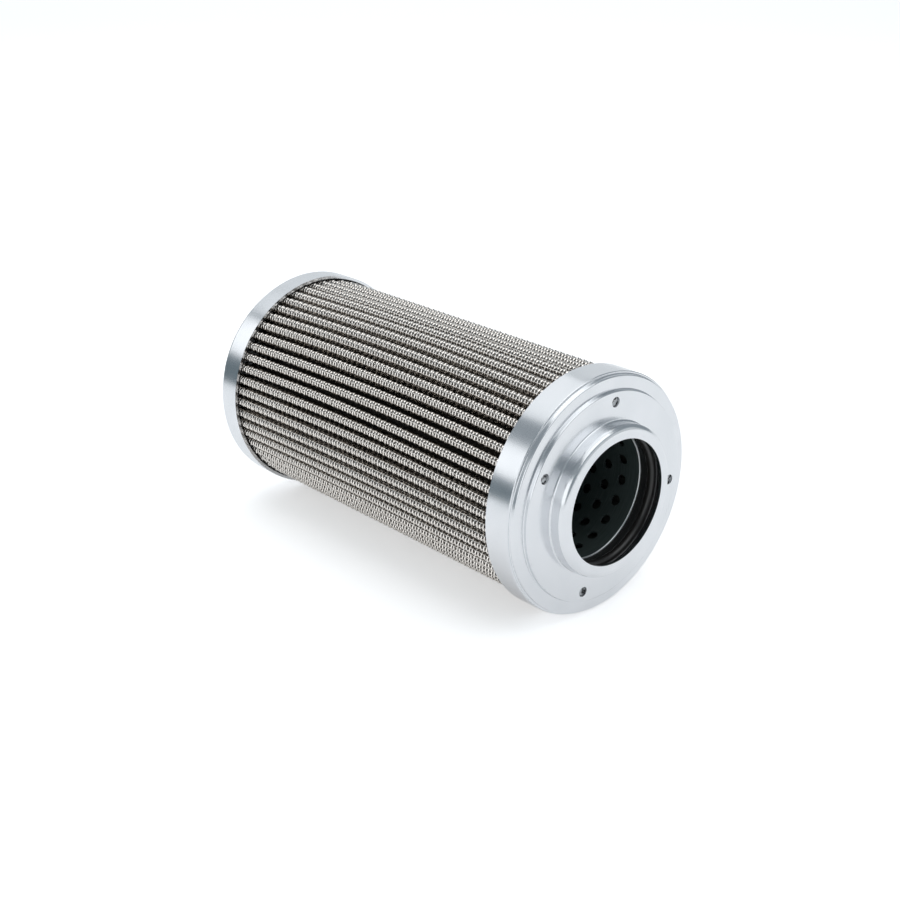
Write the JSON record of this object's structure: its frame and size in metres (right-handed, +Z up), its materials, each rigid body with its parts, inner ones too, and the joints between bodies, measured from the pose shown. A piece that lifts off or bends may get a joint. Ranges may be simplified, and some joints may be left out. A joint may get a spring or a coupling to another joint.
{
  "type": "hydraulic filter element",
  "caption": "Cylindrical pleated wire-mesh filter element with a closed steel cap at one end and a stepped steel cap with an O-ring neck at the other.",
  "frame": {"origin": "centre of the closed end's outer face, which it stands on", "axes": "+Z up the element's axis towards the neck; the vent holes lie on X and Y"},
  "size_m": [0.078, 0.078, 0.1546],
  "materials": {
    "zinc_plated_steel": "bright zinc plating, satin",
    "nitrile_rubber": "smooth black rubber",
    "black_steel": "dark oiled finish, bare at the cut edges",
    "stainless_mesh": "plain woven stainless wire",
    "fine_mesh": "fine woven stainless wire",
    "fleece": "thin spunbond fleece",
    "glass_fibre": "felted glass fibre",
    "adhesive": "cured dark adhesive"
  },
  "bodies": {
    "root": {"outlet_end_cap": "zinc_plated_steel", "blind_end_cap": "zinc_plated_steel", "o_ring": "nitrile_rubber", "seal_support_ring": "black_steel", "core_tube": "black_steel", "outer_mesh": "stainless_mesh", "prefilter_fleece": "fleece", "glass_fibre_media": "glass_fibre", "inner_mesh": "fine_mesh", "side_seam": "adhesive", "outlet_adhesive": "adhesive", "blind_adhesive": "adhesive"}
  },
  "joints": []
}
